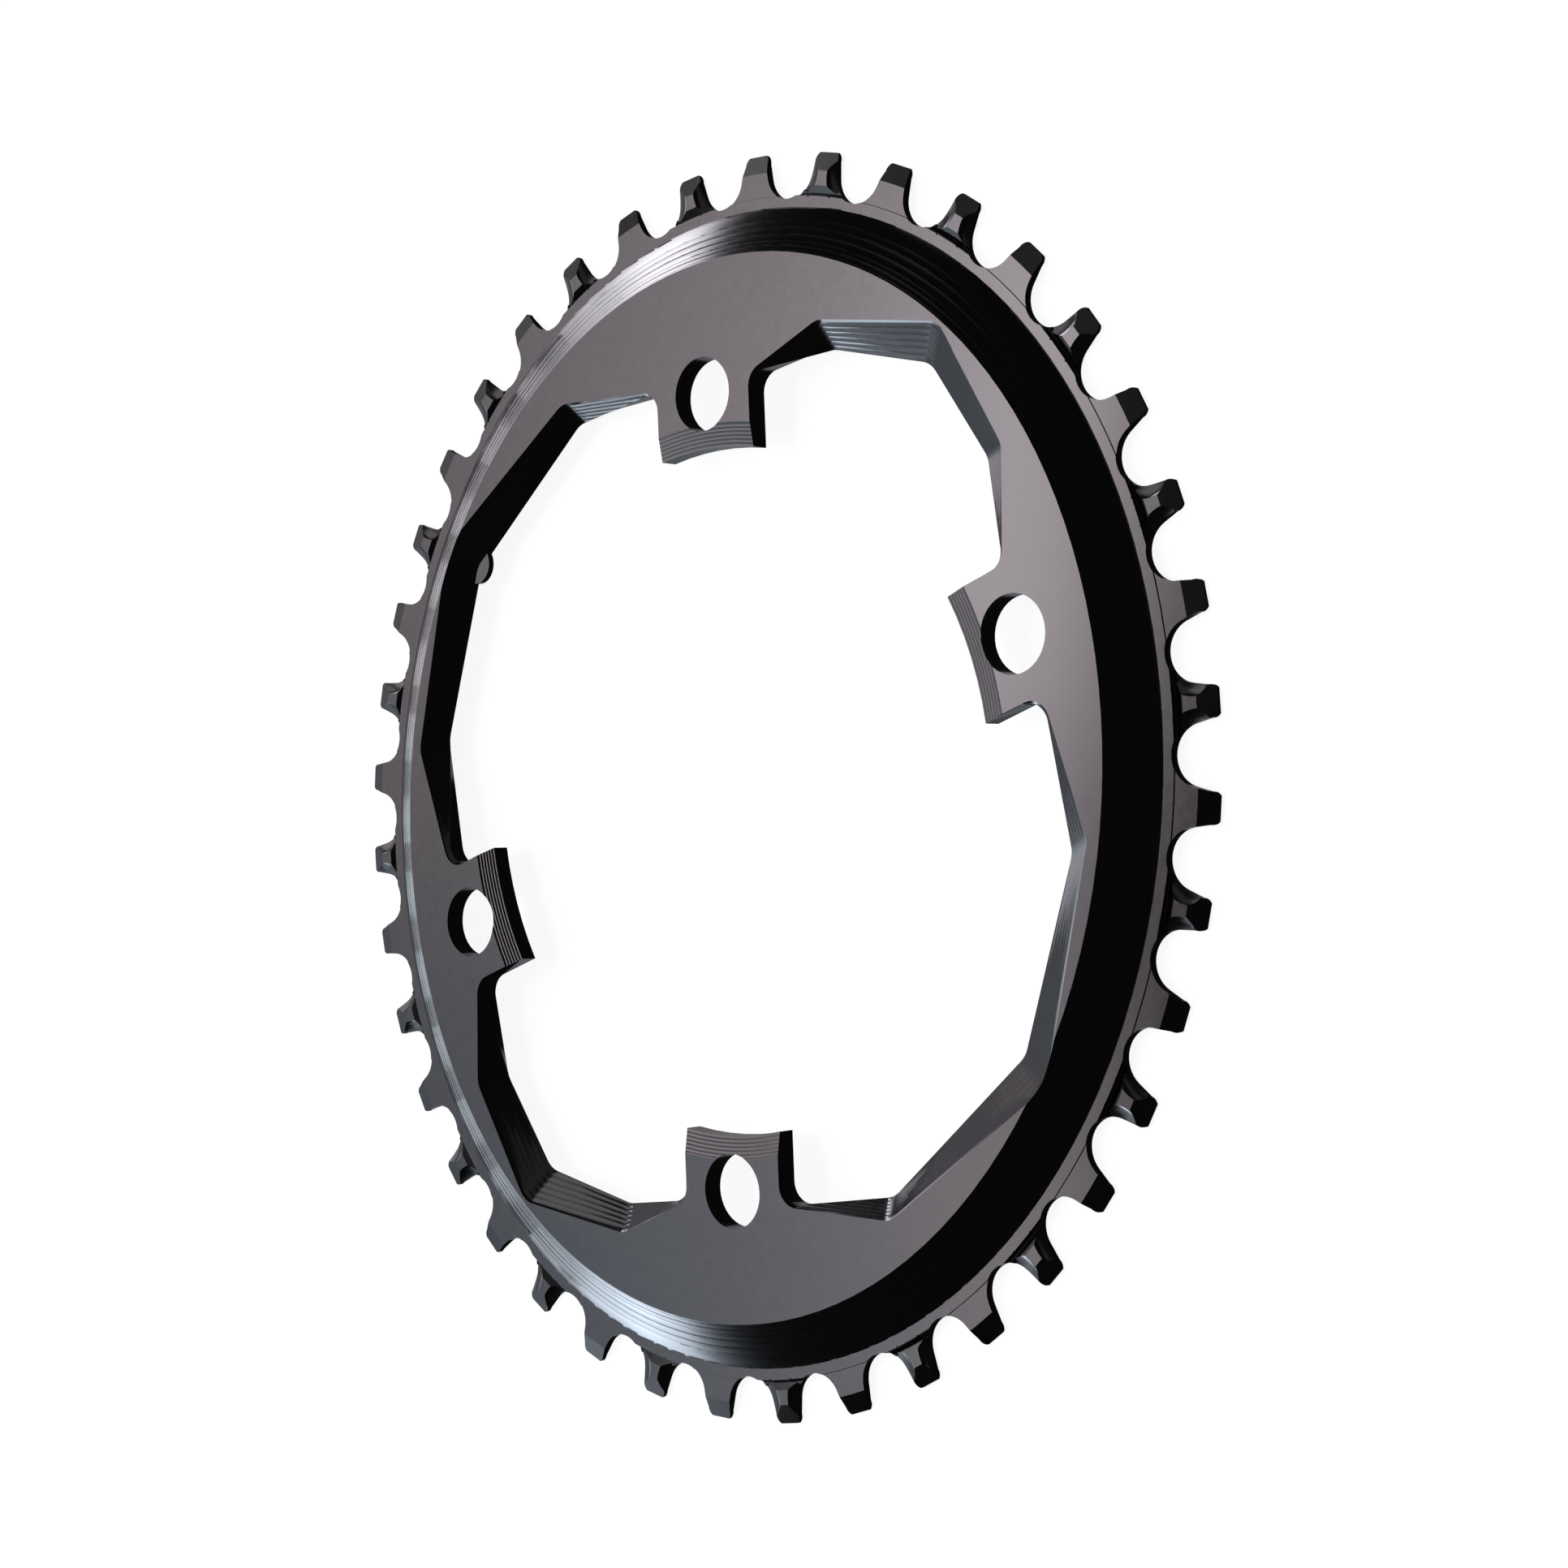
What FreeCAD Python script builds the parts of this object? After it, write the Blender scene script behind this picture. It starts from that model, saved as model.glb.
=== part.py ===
import FreeCAD, Part
import math
import os
import Sketcher
from FreeCAD import Vector

# Oval bicycle chainring, machined from one plate: a raised flat face, a cone that falls to a thin
# tooth plate, forty teeth that alternate between full and relieved, and four tabs for the bolts.
# Z = 0 is the back of the tooth plate, on which the ring lies. +Z is the raised face, and the
# origin is the centre of the bolt circle. X and Y are the axes of the bolts' rectangle.

NODE = "chainring"
OUTSIDE = 1.0       # how far a cutting shape runs past the metal
CURVE_POINTS = 32   # points of a curve that runs parallel to the oval
ARC_STEPS = 3       # straight steps that stand for the foot of the cone

# Driving sizes, in millimetres and degrees: name, value, what it is
SIZES = [
    ("chain_pitch", 12.7, "from roller to roller"),
    ("tooth_count", 40, "an even number"),
    ("oval_ratio", 1.116, "long axis over short axis"),
    ("oval_turn", 22.45, "long axis from X"),
    ("first_seat", 0.6, "direction of the first roller seat from X"),
    ("seat_radius", 3.95, "roller seat"),
    ("tip_height", 2.75, "tooth tip above the line between its rollers"),
    ("tip_width", 3.1, "flat of the tip"),
    ("shoulder_height", 1.6, "where the tooth starts to round off"),
    ("shoulder_width", 4.04, "tooth there"),
    ("plate_thickness", 1.35, "tooth plate"),
    ("tooth_step", 0.15, "teeth lower than the plate"),
    ("step_inset", 3.55, "step, inside the pitch curve"),
    ("bevel_inset", 0.1, "start of the front bevel, inside the pitch curve"),
    ("bevel_drop", 0.8, "fall of the front bevel to the tip"),
    ("relief_depth", 0.65, "scoop at the foot of every second tooth"),
    ("relief_crest", 2.1, "outer edge of that scoop, inside the pitch curve"),
    ("relief_width", 1.4, "side bevels, from the roller seat"),
    ("relief_angle", 14, "side bevels from the face"),
    ("face_height", 5.0, "raised face above the back of the teeth"),
    ("face_inset", 11.55, "edge of the raised face, inside the pitch curve"),
    ("cone_angle", 44, "cone from the face"),
    ("cone_foot", 4.9, "where the cone meets the plate, inside the pitch curve"),
    ("seat_height", 1.8, "back of the tabs above the back of the teeth"),
    ("back_inset", 7.5, "edge of the recess in the back, inside the pitch curve"),
    ("bolt_circle", 110, "diameter"),
    ("arm_angle", 36, "bolt directions from X"),
    ("bolt_hole", 10.3, "diameter"),
    ("hole_break", 0.15, "broken edge of a bolt hole"),
    ("tab_width", 17.5, "across a tab"),
    ("tab_nose", 7.6, "inner end of a tab from the bolt circle"),
    ("tab_slope", 3.3, "length of the sloping end of a tab"),
    ("tab_drop", 0.6, "fall of that slope"),
    ("notch_depth", 1.6, "root of a tab outside the bolt circle"),
    ("notch_round", 3.0, "round in that root"),
    ("corner_round", 3.5, "other rounds of the opening"),
    ("rim_height", 0.7, "sharp rim of the opening above the tabs' back"),
    ("rim_end", 0.3, "end of that rim at a tab, below the broken edge of the face"),
    ("rim_undercut", 1.0, "opening wider at the back than at that rim"),
    ("edge_break", 0.3, "broken edge of the opening at the face"),
    ("side_peak_front", 71.7, "corner of the opening on X, at the face"),
    ("side_peak_back", 66.2, "the same at the rim"),
    ("end_peak_front", 67.2, "corner of the opening on Y, at the face"),
    ("end_peak_back", 61.4, "the same at the rim"),
    ("nub_radius", 2.9, "round of the locating nub on the end corner"),
    ("nub_reach", 1.7, "nub inward from that corner"),
    ("nub_height", 0.95, "nub above the tabs' back"),
]

# Knees of the opening between a tab and a peak: distance from the centre and direction from X,
# at the face and then at the rim. The first two flank +X and the other two flank +Y.
KNEES = [
    ("side_knee_low", (65.9, -15.5), (62.3, -13.7)),
    ("side_knee_high", (65.2, 16.7), (62.1, 14.8)),
    ("end_knee_right", (63.9, 62.1), (61.1, 62.3)),
    ("end_knee_left", (62.9, 117.4), (59.3, 115.4)),
]


def make_sheet(doc):
    """Spreadsheet of the driving sizes, one named cell to a row."""
    sheet = doc.addObject("Spreadsheet::Sheet", "sizes")
    rows = [(name, value) for name, value, _ in SIZES]
    for name, front, back in KNEES:
        rows += [(name + "_front", front[0]), (name + "_front_turn", front[1])]
        rows += [(name + "_back", back[0]), (name + "_back_turn", back[1])]
    for row, (name, value) in enumerate(rows, start=1):
        sheet.set(f"A{row}", name)
        sheet.set(f"B{row}", str(value))
        sheet.setAlias(f"B{row}", name)
    doc.recompute()
    return sheet


def polar(radius, degrees):
    return Vector(radius * math.cos(math.radians(degrees)), radius * math.sin(math.radians(degrees)), 0)


def raised(point, height):
    return Vector(point.x, point.y, height)


class Oval:
    """Ellipse through the roller centres, which lie one chain pitch apart all the way round."""

    def __init__(self, size):
        self.ratio = size.oval_ratio
        self.turn = math.radians(size.oval_turn)
        self.pitch = size.chain_pitch
        self.count = int(size.tooth_count)
        self.start = self.parameter(math.radians(size.first_seat))
        low = 0.3 * self.pitch * self.count / (2 * math.pi)
        high = 3 * self.pitch * self.count / (2 * math.pi)
        while high - low > 1e-9:
            self.minor = (low + high) / 2
            if self.seat_parameters()[-1] - self.start > 2 * math.pi:
                low = self.minor
            else:
                high = self.minor

    def parameter(self, direction):
        """Parameter of the point that lies in a direction from X."""
        local = direction - self.turn
        return math.atan2(self.ratio * math.sin(local), math.cos(local))

    def point(self, parameter, offset=0.0):
        """Point of the ellipse, moved outward by offset along the normal."""
        along = self.minor * self.ratio * math.cos(parameter)
        across = self.minor * math.sin(parameter)
        normal = Vector(math.cos(parameter), self.ratio * math.sin(parameter), 0).normalize()
        local = Vector(along, across, 0) + normal * offset
        cosine, sine = math.cos(self.turn), math.sin(self.turn)
        return Vector(local.x * cosine - local.y * sine, local.x * sine + local.y * cosine, 0)

    def seat_parameters(self):
        """Parameters of the roller centres, and of the first one again after a full turn."""
        found = [self.start]
        for _ in range(self.count):
            here = self.point(found[-1])
            near, far = found[-1], found[-1] + math.pi / 2
            while far - near > 1e-10:
                middle = (near + far) / 2
                if (self.point(middle) - here).Length < self.pitch:
                    near = middle
                else:
                    far = middle
            found.append(near)
        return found

    def seats(self):
        return [self.point(parameter) for parameter in self.seat_parameters()[:-1]]

    def loop(self, inset, height):
        """Closed curve that runs a constant distance inside the pitch curve, at a height."""
        steps = [2 * math.pi * index / CURVE_POINTS for index in range(CURVE_POINTS)]
        curve = Part.BSplineCurve()
        curve.interpolate(Points=[raised(self.point(step, -inset), height) for step in steps],
                          PeriodicFlag=True)
        return Part.Wire(curve.toShape())

    def stack(self, profile):
        """Solid through loops of the given insets and heights; a closed profile makes a ring."""
        loops = [self.loop(inset, height) for inset, height in profile]
        closed = profile[0] == profile[-1]
        faces = [] if closed else [Part.Face(loops[0]), Part.Face(loops[-1])]
        for (_, low), (_, high), start, end in zip(profile, profile[1:], loops, loops[1:]):
            if low == high:
                outer, inner = sorted((start, end), key=lambda loop: -loop.Length)
                faces.append(Part.Face([outer, inner]))
            else:
                faces.append(Part.makeRuledSurface(start.Edges[0], end.Edges[0]))
        shell = Part.makeShell(faces)
        shell.sewShape()
        solid = Part.makeSolid(shell)
        solid.fix(1e-6, 1e-6, 1e-6)
        if solid.Volume < 0:
            solid.reverse()
        return solid


class Tooth:
    """Frame of one tooth: its middle on the line between two rollers, and its two directions."""

    def __init__(self, seat, next_seat):
        self.seat = seat
        self.next_seat = next_seat
        self.middle = (seat + next_seat) * 0.5
        self.along = (next_seat - seat).normalize()
        self.out = Vector(self.along.y, -self.along.x, 0)

    def point(self, along, out, height=0.0):
        return self.middle + self.along * along + self.out * out + Vector(0, 0, height)

    def seat_tangent(self, size):
        """Where the flank leaves the roller seat, measured from the middle of the tooth."""
        half_pitch = size.chain_pitch / 2
        across = size.shoulder_width / 2 - half_pitch
        distance = math.hypot(across, size.shoulder_height)
        direction = math.atan2(size.shoulder_height, across) + math.acos(size.seat_radius / distance)
        return half_pitch + size.seat_radius * math.cos(direction), size.seat_radius * math.sin(direction)


def corner_edge(tooth, size, side):
    """Rounded corner of a tooth between its flank and its tip."""
    shoulder = tooth.point(side * size.shoulder_width / 2, size.shoulder_height)
    tip = tooth.point(side * size.tip_width / 2, size.tip_height)
    bulge = (size.shoulder_width - size.tip_width) / 5
    middle = (shoulder + tip) * 0.5 + (tooth.along * side + tooth.out).normalize() * bulge
    return shoulder, middle, tip


def toothed_outline(oval, size):
    """Closed outline of the roller seats and teeth, counted anticlockwise."""
    seats = oval.seats()
    teeth = [Tooth(seat, seats[(index + 1) % len(seats)]) for index, seat in enumerate(seats)]
    edges = []
    for index, tooth in enumerate(teeth):
        across, out = tooth.seat_tangent(size)
        foot_before, foot_after = tooth.point(-across, out), tooth.point(across, out)
        rise, rise_middle, tip_start = corner_edge(tooth, size, -1)
        fall, fall_middle, tip_end = corner_edge(tooth, size, 1)
        following = teeth[(index + 1) % len(teeth)]
        seat_bottom = tooth.next_seat - (tooth.out + following.out).normalize() * size.seat_radius
        edges += [
            Part.LineSegment(foot_before, rise),
            Part.Arc(rise, rise_middle, tip_start),
            Part.LineSegment(tip_start, tip_end),
            Part.Arc(tip_end, fall_middle, fall),
            Part.LineSegment(fall, foot_after),
            Part.Arc(foot_after, seat_bottom, following.point(-across, out)),
        ]
    return Part.Wire([edge.toShape() for edge in edges]), teeth


def front_profile(size):
    """Insets and heights of the front, from the tips of the teeth up to the raised face."""
    tooth_top = size.plate_thickness - size.tooth_step
    slope = size.bevel_drop / (size.tip_height + size.bevel_inset)
    rim = size.tip_height + OUTSIDE
    angle = math.radians(size.cone_angle)
    rise = size.face_height - size.plate_thickness
    run = size.face_inset - size.cone_foot
    round_radius = (run * math.tan(angle) - rise) / (math.tan(angle) * math.sin(angle) - 1 + math.cos(angle))
    profile = [
        (-rim, 0),
        (-rim, tooth_top - slope * (rim + size.bevel_inset)),
        (size.bevel_inset, tooth_top),
        (size.step_inset - size.tooth_step / 2, tooth_top),
        (size.step_inset, size.plate_thickness),
    ]
    for step in range(ARC_STEPS + 1):
        lean = angle * step / ARC_STEPS
        profile.append((size.cone_foot + round_radius * math.sin(lean),
                        size.plate_thickness + round_radius * (1 - math.cos(lean))))
    profile.append((size.face_inset, size.face_height))
    return profile


def relief_cutters(oval, size, teeth):
    """Scoop at the foot and bevels along both sides of every second tooth."""
    top = size.plate_thickness + OUTSIDE
    tooth_top = size.plate_thickness - size.tooth_step
    floor = size.plate_thickness - size.relief_depth
    foot = size.step_inset - size.tooth_step / 2
    fillet = (tooth_top - floor) / 2
    half = size.chain_pitch / 2
    sectors = []
    for tooth in teeth[::2]:
        corners = [(-half, -half), (half, -half), (half, half), (-half, half), (-half, -half)]
        outline = Part.makePolygon([tooth.point(along, out) for along, out in corners])
        sectors.append(Part.Face(outline).extrude(Vector(0, 0, top)))
    sectors = Part.makeCompound(sectors)
    scoop = oval.stack([(foot - fillet, floor), (size.relief_crest, tooth_top), (size.relief_crest, top),
                        (foot, top), (foot, floor + fillet), (foot - fillet, floor)])
    slope = math.tan(math.radians(size.relief_angle))
    bevel_width = size.relief_width + (top - tooth_top) / slope
    bevel_height = bevel_width * slope
    keep_plate = oval.stack([(foot, 0), (foot, top)])
    zones = sectors.cut(keep_plate)
    cutters = [scoop.common(sectors)]
    for zone, tooth in zip(zones.Solids, teeth[::2]):
        for seat in (tooth.seat, tooth.next_seat):
            bevel = Part.makeCone(size.seat_radius, size.seat_radius + bevel_width, bevel_height,
                                  raised(seat, top - bevel_height))
            cutters.append(zone.common(bevel))
    return cutters


def toothed_blank(oval, size):
    """Ring with its teeth, cone and raised face, before the opening is cut."""
    outline, teeth = toothed_outline(oval, size)
    body = oval.stack(front_profile(size))
    prism = Part.Face(outline).extrude(Vector(0, 0, size.face_height))
    body = body.common(prism)
    recess = oval.stack([(size.back_inset - OUTSIDE, -OUTSIDE),
                         (size.back_inset + size.seat_height, size.seat_height)])
    return body.cut([recess] + relief_cutters(oval, size, teeth))


def rounded_loop(corners):
    """Closed polygon, each corner rounded by its own radius and kept level at its own height."""
    edges = []
    previous_end = None
    first_start = None
    count = len(corners)
    for index, (point, radius) in enumerate(corners):
        corner = raised(point, 0)
        before = (raised(corners[index - 1][0], 0) - corner).normalize()
        after = (raised(corners[(index + 1) % count][0], 0) - corner).normalize()
        half = before.getAngle(after) / 2
        reach = radius / math.tan(half)
        centre = corner + (before + after).normalize() * (radius / math.sin(half))
        middle = raised(centre + (corner - centre).normalize() * radius, point.z)
        start = raised(corner + before * reach, point.z)
        end = raised(corner + after * reach, point.z)
        if previous_end is None:
            first_start = start
        else:
            edges.append(Part.LineSegment(previous_end, start))
        edges.append(Part.Arc(start, middle, end))
        previous_end = end
    edges.append(Part.LineSegment(previous_end, first_start))
    return Part.Wire([edge.toShape() for edge in edges])


def lobe(size, heading, level, height, tab_height=None, outset=0.0):
    """Outline of one lobe of the opening between two tabs, where it may lie at another height."""
    if heading == 0:
        peak, arm, knees = "side_peak", size.arm_angle, ("side_knee_low", "side_knee_high")
    else:
        peak, arm, knees = "end_peak", 90 - size.arm_angle, ("end_knee_right", "end_knee_left")
    tab_height = height if tab_height is None else tab_height
    bolt_radius = size.bolt_circle / 2
    peak_distance = getattr(size, f"{peak}_{level}") + outset
    corners = [(raised(polar(peak_distance, heading), height), size.corner_round)]
    for side, knee in zip((-1, 1), knees):
        direction = polar(1, heading + side * arm)
        across = Vector(direction.y, -direction.x, 0) * (side * size.tab_width / 2)
        inner = raised(direction * (bolt_radius - 2 * size.tab_nose) + across, tab_height)
        notch = raised(direction * (bolt_radius + size.notch_depth) + across, tab_height)
        distance = getattr(size, f"{knee}_{level}") + outset
        turn = getattr(size, f"{knee}_{level}_turn")
        flank = [(inner, size.notch_round), (notch, size.notch_round),
                 (raised(polar(distance, turn), height), size.corner_round)]
        corners = flank + corners if side < 0 else corners + flank[::-1]
    return rounded_loop(corners)


def opening_cutter(size):
    """The four lobes between the tabs: broken edge, sloping wall, sharp rim and undercut."""
    wall_top = size.face_height - size.edge_break
    rim = size.seat_height + size.rim_height
    shapes = []
    for heading in (0, 90):
        loops = [
            lobe(size, heading, "back", -OUTSIDE, outset=size.rim_undercut),
            lobe(size, heading, "back", size.seat_height, outset=size.rim_undercut),
            lobe(size, heading, "back", rim, tab_height=wall_top - size.rim_end),
            lobe(size, heading, "front", wall_top),
            lobe(size, heading, "front", size.face_height, outset=size.edge_break),
            lobe(size, heading, "front", size.face_height + OUTSIDE, outset=size.edge_break),
        ]
        solid = Part.makeLoft(loops, True, True)
        opposite = solid.copy()
        opposite.rotate(Vector(0, 0, 0), Vector(0, 0, 1), 180)
        shapes += [solid, opposite]
    return Part.makeCompound(shapes)


def add_shape(doc, name, shape):
    """Put a shape that follows a formula into the document."""
    feature = doc.addObject("Part::Feature", name)
    feature.Shape = shape
    return feature


def new_sketch(body, name, role):
    sketch = body.newObject("Sketcher::SketchObject", name)
    plane = next(plane for plane in body.Origin.OriginFeatures if plane.Role == role)
    sketch.AttachmentSupport = (plane, "")
    sketch.MapMode = "FlatFace"
    return sketch


def bind(sketch, constraint, expression):
    """Add a dimension to a sketch and tie it to the sheet."""
    index = sketch.addConstraint(constraint)
    sketch.setExpression(f"Constraints[{index}]", expression)


def add_circle(sketch, centre, diameter, east=None, north=None):
    """Circle tied to the sheet: at the origin, north of it, or east and north of it."""
    circle = sketch.addGeometry(Part.Circle(centre, Vector(0, 0, 1), 5))
    if north is None:
        sketch.addConstraint(Sketcher.Constraint("Coincident", circle, 3, -1, 1))
    elif east is None:
        sketch.addConstraint(Sketcher.Constraint("PointOnObject", circle, 3, -2))
        bind(sketch, Sketcher.Constraint("DistanceY", -1, 1, circle, 3, centre.y), north)
    else:
        bind(sketch, Sketcher.Constraint("DistanceX", -1, 1, circle, 3, centre.x), east)
        bind(sketch, Sketcher.Constraint("DistanceY", -1, 1, circle, 3, centre.y), north)
    bind(sketch, Sketcher.Constraint("Diameter", circle, 10), diameter)


def cut_through(body, name, sketch):
    """Pocket through the whole ring, both ways from the sketch."""
    pocket = body.newObject("PartDesign::Pocket", name)
    pocket.Profile = sketch
    pocket.Type = "ThroughAll"
    pocket.Midplane = True
    pocket.Refine = False
    body.Document.recompute()
    return pocket


def nub(body):
    """Round locating nub on the back of the end corner."""
    sketch = new_sketch(body, "nub_sketch", "XY_Plane")
    sketch.AttachmentOffset = FreeCAD.Placement(Vector(0, 0, 1), FreeCAD.Rotation())
    sketch.setExpression("AttachmentOffset.Base.z", "sizes.seat_height")
    add_circle(sketch, Vector(0, 60, 0), "sizes.nub_radius * 2", None,
               "sizes.end_peak_back - sizes.nub_reach + sizes.nub_radius")
    pad = body.newObject("PartDesign::Pad", "nub")
    pad.Profile = sketch
    pad.setExpression("Length", "sizes.nub_height")
    pad.Refine = False
    body.Document.recompute()


def tab_ends(body):
    """Round bore that ends the tabs, then the slope turned on their ends."""
    bore = new_sketch(body, "bore_sketch", "XY_Plane")
    add_circle(bore, Vector(0, 0, 0), "sizes.bolt_circle - sizes.tab_nose * 2")
    cut_through(body, "tab_bore", bore)
    slope = new_sketch(body, "slope_sketch", "XZ_Plane")
    corners = [Vector(47, 5, 0), Vector(50, 6, 0), Vector(47, 6, 0)]
    for start, end in zip(corners, corners[1:] + corners[:1]):
        slope.addGeometry(Part.LineSegment(start, end))
    for line, following in ((0, 1), (1, 2), (2, 0)):
        slope.addConstraint(Sketcher.Constraint("Coincident", line, 2, following, 1))
    slope.addConstraint(Sketcher.Constraint("Horizontal", 1))
    slope.addConstraint(Sketcher.Constraint("Vertical", 2))
    bind(slope, Sketcher.Constraint("DistanceX", -1, 1, 2, 1, 47), "sizes.bolt_circle / 2 - sizes.tab_nose")
    bind(slope, Sketcher.Constraint("DistanceY", -1, 1, 2, 1, 6), "sizes.face_height")
    bind(slope, Sketcher.Constraint("DistanceX", 2, 1, 0, 2, 3), "sizes.tab_slope")
    bind(slope, Sketcher.Constraint("DistanceY", 0, 1, 2, 1, 1), "sizes.tab_drop")
    groove = body.newObject("PartDesign::Groove", "tab_slope")
    groove.Profile = slope
    groove.ReferenceAxis = (slope, ["V_Axis"])
    groove.Angle = 360
    groove.Refine = False
    body.Document.recompute()


def bolt_holes(body):
    """Four bolt holes on the bolt circle, with broken edges."""
    sketch = new_sketch(body, "bolt_sketch", "XY_Plane")
    for east, north in ((1, 1), (-1, 1), (-1, -1), (1, -1)):
        add_circle(sketch, Vector(east * 40, north * 30, 0), "sizes.bolt_hole",
                   f"{east} * sizes.bolt_circle / 2 * cos(sizes.arm_angle)",
                   f"{north} * sizes.bolt_circle / 2 * sin(sizes.arm_angle)")
    pocket = cut_through(body, "bolt_holes", sketch)
    radius = body.Document.sizes.bolt_hole / 2
    rims = [f"Edge{index}" for index, edge in enumerate(pocket.Shape.Edges, start=1)
            if isinstance(edge.Curve, Part.Circle) and edge.Closed and abs(edge.Curve.Radius - radius) < 1e-6]
    chamfer = body.newObject("PartDesign::Chamfer", "hole_edges")
    chamfer.Base = (pocket, rims)
    chamfer.setExpression("Size", "sizes.hole_break")
    chamfer.Refine = False
    body.Document.recompute()


def main():
    doc = FreeCAD.newDocument("chainring_part")
    size = make_sheet(doc)
    oval = Oval(size)
    blank = add_shape(doc, "toothed_blank", toothed_blank(oval, size))
    opening = add_shape(doc, "opening_lobes", opening_cutter(size))
    ring = doc.addObject("Part::Cut", "opened_ring")
    ring.Base = blank
    ring.Tool = opening
    doc.recompute()
    body = doc.addObject("PartDesign::Body", NODE)
    body.BaseFeature = ring
    doc.recompute()
    nub(body)
    tab_ends(body)
    bolt_holes(body)
    body.Label = NODE
    doc.recompute()
    for item in doc.Objects:
        bad = {"Invalid", "Error"} & set(item.State)
        if bad:
            raise RuntimeError(f"{item.Name} has not been computed: {item.State}")
    if body.Shape.isNull() or not body.Shape.isValid() or len(body.Shape.Solids) != 1:
        raise RuntimeError("the ring is not one valid solid")
    os.makedirs("parts", exist_ok=True)
    body.Shape.exportStep(f"parts/{NODE}.step")
    print(NODE, "volume", round(body.Shape.Volume, 1), "faces", len(body.Shape.Faces))


main()
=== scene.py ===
import math

import bmesh
import bpy
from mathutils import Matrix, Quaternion, Vector


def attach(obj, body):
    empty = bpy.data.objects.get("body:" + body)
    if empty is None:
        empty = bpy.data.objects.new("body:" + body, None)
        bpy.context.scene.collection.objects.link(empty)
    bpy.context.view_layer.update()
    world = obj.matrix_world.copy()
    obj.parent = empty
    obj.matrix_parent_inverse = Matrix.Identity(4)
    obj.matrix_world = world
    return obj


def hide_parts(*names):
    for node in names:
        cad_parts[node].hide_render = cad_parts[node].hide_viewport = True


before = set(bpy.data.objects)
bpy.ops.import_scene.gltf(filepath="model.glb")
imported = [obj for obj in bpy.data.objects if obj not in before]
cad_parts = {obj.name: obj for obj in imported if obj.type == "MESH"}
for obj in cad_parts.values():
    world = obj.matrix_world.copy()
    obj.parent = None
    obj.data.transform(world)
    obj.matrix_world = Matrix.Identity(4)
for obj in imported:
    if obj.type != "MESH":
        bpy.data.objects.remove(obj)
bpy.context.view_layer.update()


def direction(azimuth, elevation):
    """Unit vector from an azimuth counted from +X and an elevation, in degrees."""
    a, e = math.radians(azimuth), math.radians(elevation)
    return Vector((math.cos(e) * math.cos(a), math.cos(e) * math.sin(a), math.sin(e)))


def new_material(name):
    material = bpy.data.materials.new(name)
    material.use_nodes = True
    nodes = material.node_tree.nodes
    nodes.clear()
    return material, nodes, material.node_tree.links


def anodised_material():
    """Satin black anodised aluminium."""
    material, nodes, links = new_material("anodised")
    output = nodes.new("ShaderNodeOutputMaterial")
    shader = nodes.new("ShaderNodeBsdfPrincipled")
    links.new(shader.outputs["BSDF"], output.inputs["Surface"])
    shader.inputs["Metallic"].default_value = 1.0
    noise = nodes.new("ShaderNodeTexNoise")
    noise.inputs["Scale"].default_value = 900.0
    noise.inputs["Detail"].default_value = 4.0
    place = nodes.new("ShaderNodeTexCoord")
    links.new(place.outputs["Object"], noise.inputs["Vector"])
    colour = nodes.new("ShaderNodeMix")
    colour.data_type = "RGBA"
    colour.inputs["A"].default_value = (0.115, 0.115, 0.12, 1)
    colour.inputs["B"].default_value = (0.145, 0.142, 0.145, 1)
    links.new(noise.outputs["Fac"], colour.inputs["Factor"])
    links.new(colour.outputs["Result"], shader.inputs["Base Color"])
    rough = nodes.new("ShaderNodeMapRange")
    rough.inputs["To Min"].default_value = 0.13
    rough.inputs["To Max"].default_value = 0.17
    links.new(noise.outputs["Fac"], rough.inputs["Value"])
    links.new(rough.outputs["Result"], shader.inputs["Roughness"])
    return material


def floor_material():
    """Pale plain floor."""
    material, nodes, links = new_material("floor")
    output = nodes.new("ShaderNodeOutputMaterial")
    diffuse = nodes.new("ShaderNodeBsdfDiffuse")
    diffuse.inputs["Color"].default_value = (0.8, 0.8, 0.8, 1)
    glow = nodes.new("ShaderNodeEmission")
    glow.inputs["Color"].default_value = (1, 1, 1, 1)
    path = nodes.new("ShaderNodeLightPath")
    strength = nodes.new("ShaderNodeMath")
    strength.operation = "MULTIPLY"
    strength.inputs[1].default_value = 0.92
    links.new(path.outputs["Is Camera Ray"], strength.inputs[0])
    links.new(strength.outputs["Value"], glow.inputs["Strength"])
    both = nodes.new("ShaderNodeAddShader")
    links.new(diffuse.outputs["BSDF"], both.inputs[0])
    links.new(glow.outputs["Emission"], both.inputs[1])
    clear = nodes.new("ShaderNodeBsdfTransparent")
    choice = nodes.new("ShaderNodeMixShader")
    links.new(path.outputs["Is Glossy Ray"], choice.inputs["Fac"])
    links.new(both.outputs["Shader"], choice.inputs[1])
    links.new(clear.outputs["BSDF"], choice.inputs[2])
    links.new(choice.outputs["Shader"], output.inputs["Surface"])
    return material


# Ring, in metres: heights of the raised face and the tooth plate, and the ellipse through the roller centres
FACE = 0.0050
PLATE = 0.00135
LONG_AXIS, SHORT_AXIS = 0.08531, 0.07644
OVAL_TURN = math.radians(22.45)
FIRST_SEAT = math.radians(0.6)
PITCH = 0.0127
TEETH = 40
HALVINGS = 40
NEAREST_STEPS = 12


def oval_point(parameter):
    along, across = LONG_AXIS * math.cos(parameter), SHORT_AXIS * math.sin(parameter)
    cosine, sine = math.cos(OVAL_TURN), math.sin(OVAL_TURN)
    return Vector((along * cosine - across * sine, along * sine + across * cosine, 0))


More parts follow.
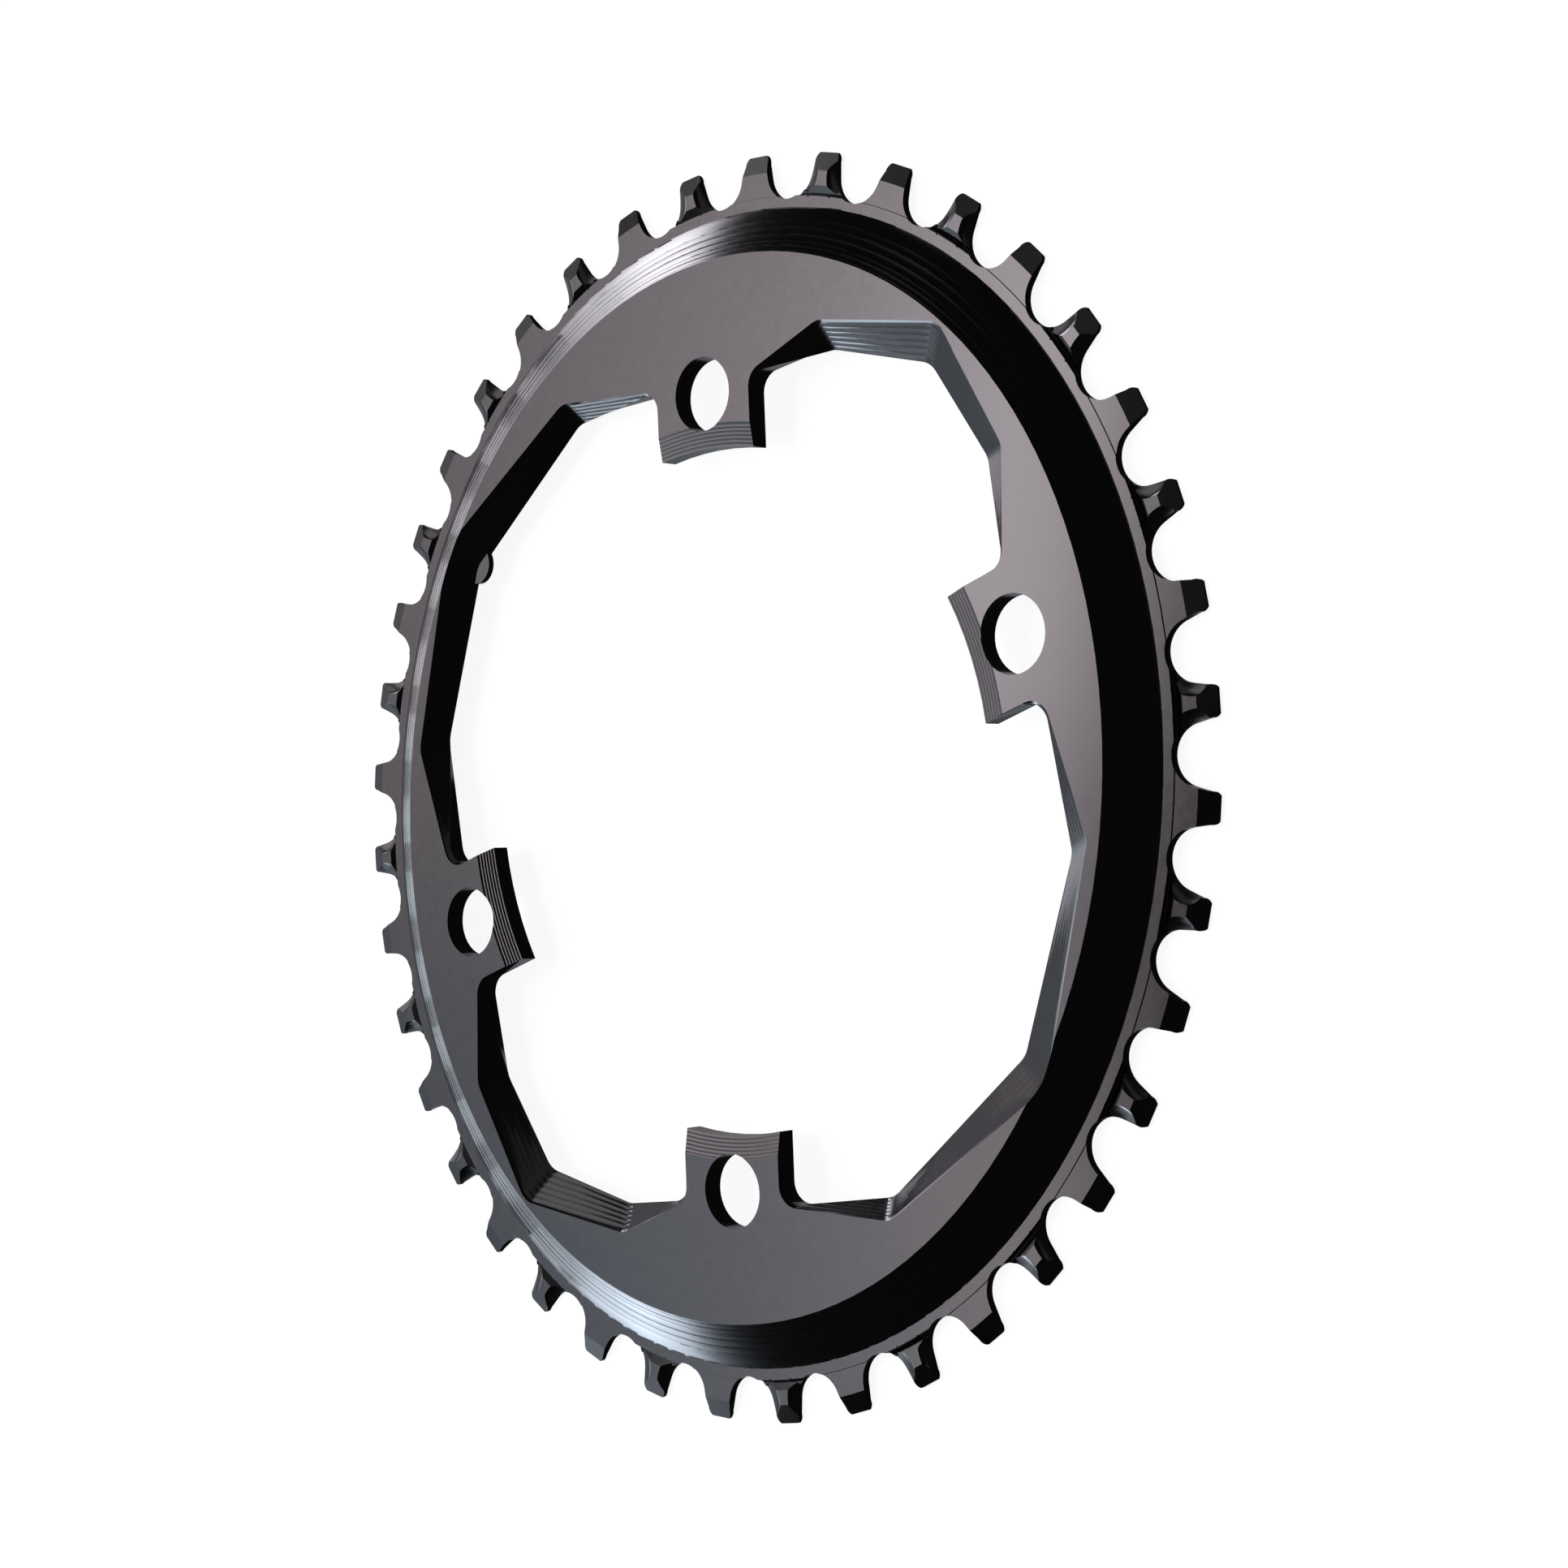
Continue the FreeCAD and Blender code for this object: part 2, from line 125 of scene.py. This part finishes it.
def inset_at(x, y):
    """Distance inward from the ellipse, and the outward direction there."""
    cosine, sine = math.cos(OVAL_TURN), math.sin(OVAL_TURN)
    along, across = x * cosine + y * sine, -x * sine + y * cosine
    squares = LONG_AXIS ** 2 - SHORT_AXIS ** 2
    t = math.atan2(LONG_AXIS * across, SHORT_AXIS * along)
    for _ in range(NEAREST_STEPS):
        value = squares * math.cos(t) * math.sin(t) - along * LONG_AXIS * math.sin(t) \
            + across * SHORT_AXIS * math.cos(t)
        rate = squares * math.cos(2 * t) - along * LONG_AXIS * math.cos(t) - across * SHORT_AXIS * math.sin(t)
        t -= value / rate
    foot = oval_point(t)
    out = Vector((math.cos(t) * SHORT_AXIS, math.sin(t) * LONG_AXIS, 0)).normalized()
    out = Vector((out.x * cosine - out.y * sine, out.x * sine + out.y * cosine, 0))
    return (foot - Vector((x, y, 0))).dot(out), out


def roller_seats():
    """Roller centres, one pitch apart along the ellipse."""
    local = FIRST_SEAT - OVAL_TURN
    parameter = math.atan2(LONG_AXIS * math.sin(local), SHORT_AXIS * math.cos(local))
    seats = []
    for _ in range(TEETH):
        seats.append(oval_point(parameter))
        near, far = parameter, parameter + 1
        for _ in range(HALVINGS):
            middle = (near + far) / 2
            if (oval_point(middle) - seats[-1]).length < PITCH:
                near = middle
            else:
                far = middle
        parameter = near
    return seats


# Round-bottomed cut beside a narrow tooth: distance from the roller centre and height
SIDE_CUT = [(0.00568, 0.00125), (0.00555, 0.00116), (0.0053, 0.00103), (0.0049, 0.00088),
            (0.0044, 0.00075), (0.0038, 0.00062)]
CUT_TOP = 0.003
CUT_START, CUT_SWEEP, CUT_STEPS = -38, 85, 20


def side_cuts(seats):
    """Cutters that hollow both sides of every second tooth."""
    bm = bmesh.new()
    for index in range(0, TEETH, 2):
        first, second = seats[index], seats[(index + 1) % TEETH]
        along = (second - first).normalized()
        out = Vector((along.y, -along.x, 0))
        for centre, side in ((first, 1), (second, -1)):
            rings = []
            for step in range(CUT_STEPS + 1):
                turn = math.radians(CUT_START + CUT_SWEEP * step / CUT_STEPS)
                ray = along * side * math.cos(turn) + out * math.sin(turn)
                profile = [centre + ray * reach + Vector((0, 0, height)) for reach, height in SIDE_CUT]
                profile.append(centre + ray * SIDE_CUT[-1][0] + Vector((0, 0, CUT_TOP)))
                profile.append(centre + ray * SIDE_CUT[0][0] + Vector((0, 0, CUT_TOP)))
                rings.append([bm.verts.new(point) for point in profile])
            count = len(rings[0])
            for ring, following in zip(rings, rings[1:]):
                for start in range(count):
                    end = (start + 1) % count
                    bm.faces.new((ring[start], ring[end], following[end], following[start]))
            bm.faces.new(rings[0])
            bm.faces.new(rings[-1][::-1])
    bmesh.ops.recalc_face_normals(bm, faces=bm.faces)
    mesh = bpy.data.meshes.new("side_cuts")
    bm.to_mesh(mesh)
    bm.free()
    cutter = bpy.data.objects.new("side_cuts", mesh)
    bpy.context.scene.collection.objects.link(cutter)
    return cutter


def cut_away(target, cutter):
    """Subtract one mesh from another and drop the cutter."""
    change = target.modifiers.new("cut", "BOOLEAN")
    change.operation = "DIFFERENCE"
    change.solver = "MANIFOLD"
    change.object = cutter
    bpy.context.view_layer.update()
    graph = bpy.context.evaluated_depsgraph_get()
    mesh = bpy.data.meshes.new_from_object(target.evaluated_get(graph))
    target.modifiers.clear()
    target.data = mesh
    bpy.data.objects.remove(cutter)


# Machined surfaces, as the numbers of their zones
CONE, WALL, TAB_END = 1, 2, 3

# Cone between the plate and the raised face: its two edges and the tool marks, as insets
CONE_FOOT, CONE_TOP = 0.00505, 0.01155
CONE_SLOPE = (FACE - PLATE) / (CONE_TOP - CONE_FOOT)
CONE_MARKS = [CONE_FOOT, 0.0068, 0.0079, 0.0090, 0.0099, 0.0106, 0.0113, CONE_TOP]
CONE_MARK_DEPTH, CONE_MARK_WIDTH, CONE_MARK_STEPS = 0.000045, 0.0009, 6
ROW_TOLERANCE = 0.00006

# Level tool marks on the walls of the opening and on the tabs' ends, and how deep they are hollowed
WALL_MARKS = [FACE - 0.0003 - 0.00037 * index for index in range(7)]
WALL_MARK_DEPTH, WALL_MARK_STEPS = 0.000026, 6
TAB_MARKS = [FACE - 0.00002 - 0.000096 * index for index in range(7)]
TAB_MARK_DEPTH, TAB_MARK_STEPS = 0.00003, 4
TAB_REACH, TAB_LEVEL = 0.0515, 0.0042


def cone_profile(inset):
    """Height and slope of the cone, hollowed a little between its tool marks."""
    if inset <= CONE_FOOT:
        return PLATE, 0.0
    if inset >= CONE_TOP:
        return FACE, CONE_SLOPE
    height, slope = PLATE + CONE_SLOPE * (inset - CONE_FOOT), CONE_SLOPE
    for low, high in zip(CONE_MARKS, CONE_MARKS[1:]):
        if low <= inset <= high:
            part = (inset - low) / (high - low)
            depth = CONE_MARK_DEPTH * min(1, (high - low) / CONE_MARK_WIDTH)
            height -= 4 * depth * part * (1 - part)
            slope -= 4 * depth * (1 - 2 * part) / (high - low)
    return height, slope


def shape_cone(bm, layer):
    """Cut the cone into rows of equal inset and set their heights from the profile."""
    verts = {vert for face in bm.faces if face[layer] == CONE for vert in face.verts}
    table = sorted((inset_at(vert.co.x, vert.co.y)[0], vert.co.z) for vert in verts)

    def solid_height(inset):
        for (low, first), (high, second) in zip(table, table[1:]):
            if low <= inset <= high:
                return first + (second - first) * (inset - low) / max(high - low, 1e-9)
        return PLATE

    rows = {}
    for low, high in zip(CONE_MARKS, CONE_MARKS[1:]):
        for step in range(CONE_MARK_STEPS):
            inset = low + (high - low) * step / CONE_MARK_STEPS
            height = solid_height(inset)
            cut_at(bm, layer, CONE, height)
            rows[round(height, 7)] = inset
    for vert in {vert for face in bm.faces if face[layer] == CONE for vert in face.verts}:
        inset = inset_at(vert.co.x, vert.co.y)[0]
        row = CONE_TOP if vert.co.z > FACE - 1e-6 else rows.get(round(vert.co.z, 7), inset)
        if abs(row - inset) < ROW_TOLERANCE or row == CONE_TOP:
            inset = row
        vert.co.z = cone_profile(inset)[0]


def cone_normals(mesh):
    """Exact normals on the cone, so that its tool marks reflect evenly."""
    zones = mesh.attributes["zone"].data
    normals = [Vector((0, 0, 0))] * len(mesh.loops)
    known = {}
    for polygon in mesh.polygons:
        if zones[polygon.index].value != CONE:
            continue
        corners = []
        for index in polygon.vertices:
            if index not in known:
                point = mesh.vertices[index].co
                known[index] = inset_at(point.x, point.y)
            corners.append(known[index])
        middle = sum(inset for inset, _ in corners) / len(corners)
        for loop, (inset, out) in zip(polygon.loop_indices, corners):
            slope = cone_profile(inset + (middle - inset) * 0.04)[1]
            normals[loop] = (out * slope + Vector((0, 0, 1))).normalized()
    mesh.normals_split_custom_set(normals)


def horizontal(vector):
    flat = Vector((vector.x, vector.y, 0))
    return flat.normalized() if flat.length > 1e-9 else flat


def zone_of(face):
    """Zone of the machined surface that a face belongs to, or 0."""
    centre, normal = face.calc_center_median(), face.normal
    outward = normal.dot(horizontal(centre))
    radius = math.hypot(centre.x, centre.y)
    if not 0.02 < normal.z < 0.9995 or centre.z < PLATE:
        return 0
    if outward > 0.02:
        return CONE
    if outward < -0.02 and radius < TAB_REACH and centre.z > TAB_LEVEL:
        return TAB_END
    if outward < -0.02 and normal.z > 0.3:
        return WALL
    return 0


def cut_at(bm, layer, zone, height):
    """Cut the faces of a zone along a level plane."""
    faces = [face for face in bm.faces if face[layer] == zone
             and min(v.co.z for v in face.verts) < height - 1e-8
             and max(v.co.z for v in face.verts) > height + 1e-8]
    if not faces:
        return
    geometry = set(faces)
    for face in faces:
        geometry.update(face.edges)
        geometry.update(face.verts)
    bmesh.ops.bisect_plane(bm, geom=list(geometry), dist=1e-8, plane_co=(0, 0, height), plane_no=(0, 0, 1))


def mark_strength(normal):
    """The tool marks are deep on walls across its path and faint on the others."""
    heading = math.degrees(math.atan2(normal.y, normal.x)) % 180
    away = abs(heading - 30)
    return max(0.12, min(1, (34 - away) / 18))


def scallop(bm, layer, zone, lines, depth, steps):
    """Hollow the bands between level tool marks, which stay as sharp ridges."""
    for high, low in zip(lines, lines[1:]):
        for step in range(steps):
            cut_at(bm, layer, zone, high + (low - high) * step / steps)
    cut_at(bm, layer, zone, lines[-1])
    bm.normal_update()
    moves = []
    verts = {vert for face in bm.faces if face[layer] == zone for vert in face.verts}
    for vert in verts:
        own = [face for face in vert.link_faces if face[layer] == zone]
        normal = sum((face.normal * face.calc_area() for face in own), Vector()).normalized()
        strength = mark_strength(normal) if zone == WALL else 1
        for high, low in zip(lines, lines[1:]):
            part = (vert.co.z - high) / (low - high)
            if 0.001 < part < 0.999:
                moves.append((vert, -4 * depth * strength * part * (1 - part) * normal))
    ridges = {round(line, 7) for line in lines}
    for edge in bm.edges:
        heights = {round(vert.co.z, 7) for vert in edge.verts}
        if len(heights) == 1 and heights <= ridges and edge.link_faces \
                and all(face[layer] == zone for face in edge.link_faces):
            edge.smooth = False
    for vert, move in moves:
        vert.co += move


def machined_ring(source, material):
    """The ring with its hollowed teeth and the marks that the tool left on its sloping surfaces."""
    bm = bmesh.new()
    bm.from_mesh(source.data)
    bm.transform(source.matrix_world)
    bmesh.ops.remove_doubles(bm, verts=bm.verts, dist=1e-6)
    mesh = bpy.data.meshes.new("ring")
    bm.to_mesh(mesh)
    bm.free()
    ring = bpy.data.objects.new("ring", mesh)
    bpy.context.scene.collection.objects.link(ring)
    cut_away(ring, side_cuts(roller_seats()))
    bm = bmesh.new()
    bm.from_mesh(ring.data)
    bm.normal_update()
    layer = bm.faces.layers.int.new("zone")
    for face in bm.faces:
        face[layer] = zone_of(face)
    for edge in bm.edges:
        if len(edge.link_faces) != 2:
            continue
        one, other = edge.link_faces
        upper = min(one.normal.z, other.normal.z) > 0.3
        same_zone = one[layer] == other[layer] and one[layer] > 0
        limit = 9 if upper and not same_zone else 28
        edge.smooth = edge.calc_face_angle(0) < math.radians(limit)
    shape_cone(bm, layer)
    bm.normal_update()
    scallop(bm, layer, WALL, WALL_MARKS, WALL_MARK_DEPTH, WALL_MARK_STEPS)
    scallop(bm, layer, TAB_END, TAB_MARKS, TAB_MARK_DEPTH, TAB_MARK_STEPS)
    for face in bm.faces:
        face.smooth = True
        face.material_index = 0
    bm.to_mesh(ring.data)
    bm.free()
    cone_normals(ring.data)
    ring.data.materials.clear()
    ring.data.materials.append(material)
    return ring


class Surroundings:
    """World shader that adds up soft boxes, each a window in azimuth times a curve over elevation."""

    def __init__(self):
        world = bpy.data.worlds.new("world")
        world.use_nodes = True
        bpy.context.scene.world = world
        self.nodes, self.links = world.node_tree.nodes, world.node_tree.links
        self.nodes.clear()
        place = self.nodes.new("ShaderNodeTexCoord")
        split = self.nodes.new("ShaderNodeSeparateXYZ")
        self.links.new(place.outputs["Generated"], split.inputs["Vector"])
        self.elevation = self.sum_of("ARCSINE", split.outputs["Z"])
        self.azimuth = self.sum_of("ARCTAN2", split.outputs["Y"], split.outputs["X"])
        self.total = None

    def sum_of(self, operation, first, second=None):
        node = self.nodes.new("ShaderNodeMath")
        node.operation = operation
        for socket, value in zip(node.inputs, (first, second)):
            if value is None:
                continue
            if isinstance(value, (int, float)):
                socket.default_value = value
            else:
                self.links.new(value, socket)
        return node.outputs["Value"]

    def ramp(self, value, start, end, low, high):
        """Smooth step from low at the angle start to high at the angle end, in degrees."""
        node = self.nodes.new("ShaderNodeMapRange")
        node.interpolation_type = "SMOOTHSTEP"
        turned = start > end
        if turned:
            start, end, low, high = end, start, high, low
        node.inputs["From Min"].default_value = math.radians(start)
        node.inputs["From Max"].default_value = math.radians(end)
        node.inputs["To Min"].default_value = low
        node.inputs["To Max"].default_value = high
        self.links.new(value, node.inputs["Value"])
        return node.outputs["Result"]

    def curve(self, value, points):
        """Smooth curve through (angle, level) points."""
        total = points[0][1]
        for (start, low), (end, high) in zip(points, points[1:]):
            total = self.sum_of("ADD", total, self.ramp(value, start, end, 0, high - low))
        return total

    def soft_box(self, azimuths, elevations, colour):
        level = self.sum_of("MULTIPLY", self.curve(self.azimuth, azimuths),
                            self.curve(self.elevation, elevations))
        tint = self.nodes.new("ShaderNodeVectorMath")
        tint.operation = "SCALE"
        if isinstance(colour, tuple):
            tint.inputs["Vector"].default_value = colour
        else:
            self.links.new(colour, tint.inputs["Vector"])
        self.links.new(level, tint.inputs["Scale"])
        if self.total is None:
            self.total = tint.outputs["Vector"]
            return
        add = self.nodes.new("ShaderNodeVectorMath")
        self.links.new(self.total, add.inputs[0])
        self.links.new(tint.outputs["Vector"], add.inputs[1])
        self.total = add.outputs["Vector"]

    def blend(self, factor, first, second):
        node = self.nodes.new("ShaderNodeMix")
        node.data_type = "VECTOR"
        node.inputs["A"].default_value = first
        node.inputs["B"].default_value = second
        self.links.new(factor, node.inputs["Factor"])
        return node.outputs["Result"]

    def close(self):
        background = self.nodes.new("ShaderNodeBackground")
        output = self.nodes.new("ShaderNodeOutputWorld")
        self.links.new(self.total, background.inputs["Color"])
        self.links.new(background.outputs["Background"], output.inputs["Surface"])


def studio():
    bpy.ops.mesh.primitive_plane_add(size=6, location=(0, 0, 0))
    floor = bpy.context.object
    floor.name = "floor"
    floor.data.materials.append(floor_material())
    around = Surroundings()
    cool = around.sum_of("MULTIPLY", around.ramp(around.azimuth, 121, 136, 0, 1),
                         around.ramp(around.elevation, 51, 43, 0, 1))
    # Back panel, brighter toward its upper edge
    around.soft_box([(97, 0), (102, 1), (117, 1), (132, 0.64), (150, 0.64), (157, 0)],
                    [(16, 0), (24, 1.05), (33, 1.05), (39, 0.68), (46, 1.27), (50, 1.9),
                     (51.8, 2.8), (52.4, 2.8), (54.3, 0)],
                    around.blend(cool, (1.1, 1, 1.04), (0.87, 1, 1.12)))
    around.soft_box([(98, 0), (106, 1), (118, 1), (126, 0)], [(49.5, 0), (52.3, 1.3), (53.8, 1.3), (55, 0)],
                    (1.08, 1, 1.04))
    # Dim ends of the back panel
    around.soft_box([(74, 0), (80, 0.65), (93, 0.65), (98, 0)], [(22, 0), (29, 1), (42, 1), (48, 0)],
                    (1, 1, 1.02))
    around.soft_box([(148, 0), (153, 0.7), (162, 0.7), (168, 0)], [(16, 0), (22, 1), (30, 1), (37, 0)],
                    (0.9, 1, 1.1))
    # Lower wall, dim toward the horizon, and a bright panel at each end of it
    low_wall = [(-34, 0.2), (-25, 1), (-9, 1), (1, 0.3), (16, 0.3), (23, 0)]
    around.soft_box([(76, 0), (82, 1.1), (119, 1.15), (121, 0)], low_wall, (1.05, 1, 1.08))
    around.soft_box([(119, 0), (121, 1.15), (150, 1.2), (162, 1.3), (172, 0)], low_wall, (0.9, 1, 1.1))
    around.soft_box([(78, 0), (84, 5.4), (87.5, 4.8), (93, 2.0), (100, 0)],
                    [(-13, 0), (-4, 1), (10, 1), (17, 0)], (1.03, 1, 1.06))
    around.soft_box([(146, 0), (151, 0.8), (155, 2.7), (161, 4.8), (165, 3.8), (169.5, 0.5), (175, 0)],
                    [(-13, 0), (-5, 1), (12, 1), (20, 0)], (0.86, 1, 1.13))
    # Faint ceiling and room
    around.soft_box([(50, 0), (58, 1), (74, 1), (82, 0)], [(30, 0), (40, 0.1), (80, 0.1), (88, 0)], (1, 1, 1))
    around.soft_box([(-181, 0), (-180, 1)], [(-91, 0), (-90, 0.015)], (1, 1, 1))
    around.close()


def camera():
    data = bpy.data.cameras.new("camera")
    data.sensor_width = 36
    data.lens = 64.710418
    data.clip_start = 0.01
    cam = bpy.data.objects.new("camera", data)
    cam.rotation_mode = "QUATERNION"
    cam.location = (0.14676074, -0.22529665, 0.28507780)
    cam.rotation_quaternion = Quaternion((0.81903430, 0.17338897, 0.31797136, -0.44498684))
    bpy.context.scene.collection.objects.link(cam)
    bpy.context.scene.camera = cam


metal = anodised_material()
ring = machined_ring(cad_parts["chainring"], metal)
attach(ring, "root")
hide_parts("chainring")
studio()
camera()
bpy.context.scene.view_settings.view_transform = "Standard"
